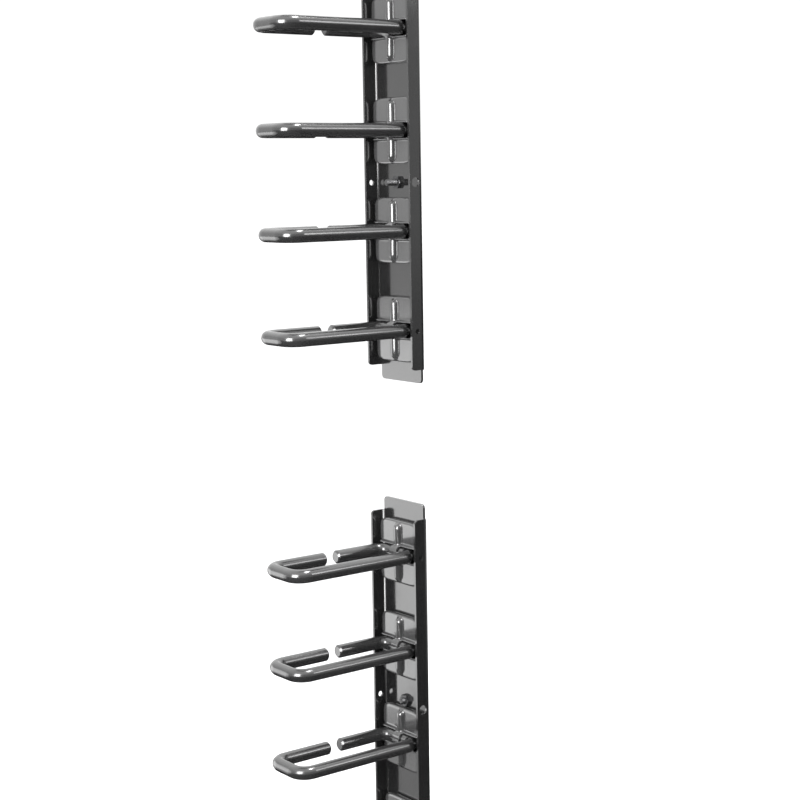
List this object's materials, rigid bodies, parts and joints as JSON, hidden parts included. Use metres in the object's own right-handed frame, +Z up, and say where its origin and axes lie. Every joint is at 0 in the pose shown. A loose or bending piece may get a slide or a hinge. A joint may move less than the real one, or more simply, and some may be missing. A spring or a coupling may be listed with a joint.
{
  "type": "vertical cable manager",
  "caption": "Vertical cable manager for a rack upright: channel sections with a row of open bent-rod cable rings held by saddle clips, on studs.",
  "frame": {"origin": "midway between the two studs next to the joint of the sections, on the plane of their backs", "axes": "+Z up along the sections, -Y out along the rings, +X across the channels, away from the mouths"},
  "size_m": [0.044, 0.104, 0.8996],
  "materials": {
    "channel_sheet": "gloss",
    "clip_sheet": "gloss",
    "ring_rod": "gloss",
    "zinc_steel": "satin"
  },
  "bodies": {
    "root": {"upper_channel": "channel_sheet", "upper_cable_ring_1": "ring_rod", "upper_cable_ring_2": "ring_rod", "upper_cable_ring_3": "ring_rod", "upper_cable_ring_4": "ring_rod", "upper_cable_ring_5": "ring_rod", "upper_cable_ring_6": "ring_rod", "upper_cable_ring_7": "ring_rod", "upper_saddle_clip_1": "clip_sheet", "upper_saddle_clip_2": "clip_sheet", "upper_saddle_clip_3": "clip_sheet", "upper_saddle_clip_4": "clip_sheet", "upper_saddle_clip_5": "clip_sheet", "upper_saddle_clip_6": "clip_sheet", "upper_saddle_clip_7": "clip_sheet", "upper_mounting_studs": "zinc_steel", "upper_stud_nuts": "zinc_steel", "lower_channel": "channel_sheet", "lower_cable_ring_1": "ring_rod", "lower_cable_ring_2": "ring_rod", "lower_cable_ring_3": "ring_rod", "lower_cable_ring_4": "ring_rod", "lower_cable_ring_5": "ring_rod", "lower_cable_ring_6": "ring_rod", "lower_cable_ring_7": "ring_rod", "lower_saddle_clip_1": "clip_sheet", "lower_saddle_clip_2": "clip_sheet", "lower_saddle_clip_3": "clip_sheet", "lower_saddle_clip_4": "clip_sheet", "lower_saddle_clip_5": "clip_sheet", "lower_saddle_clip_6": "clip_sheet", "lower_saddle_clip_7": "clip_sheet", "lower_mounting_studs": "zinc_steel", "lower_stud_nuts": "zinc_steel"}
  },
  "joints": []
}
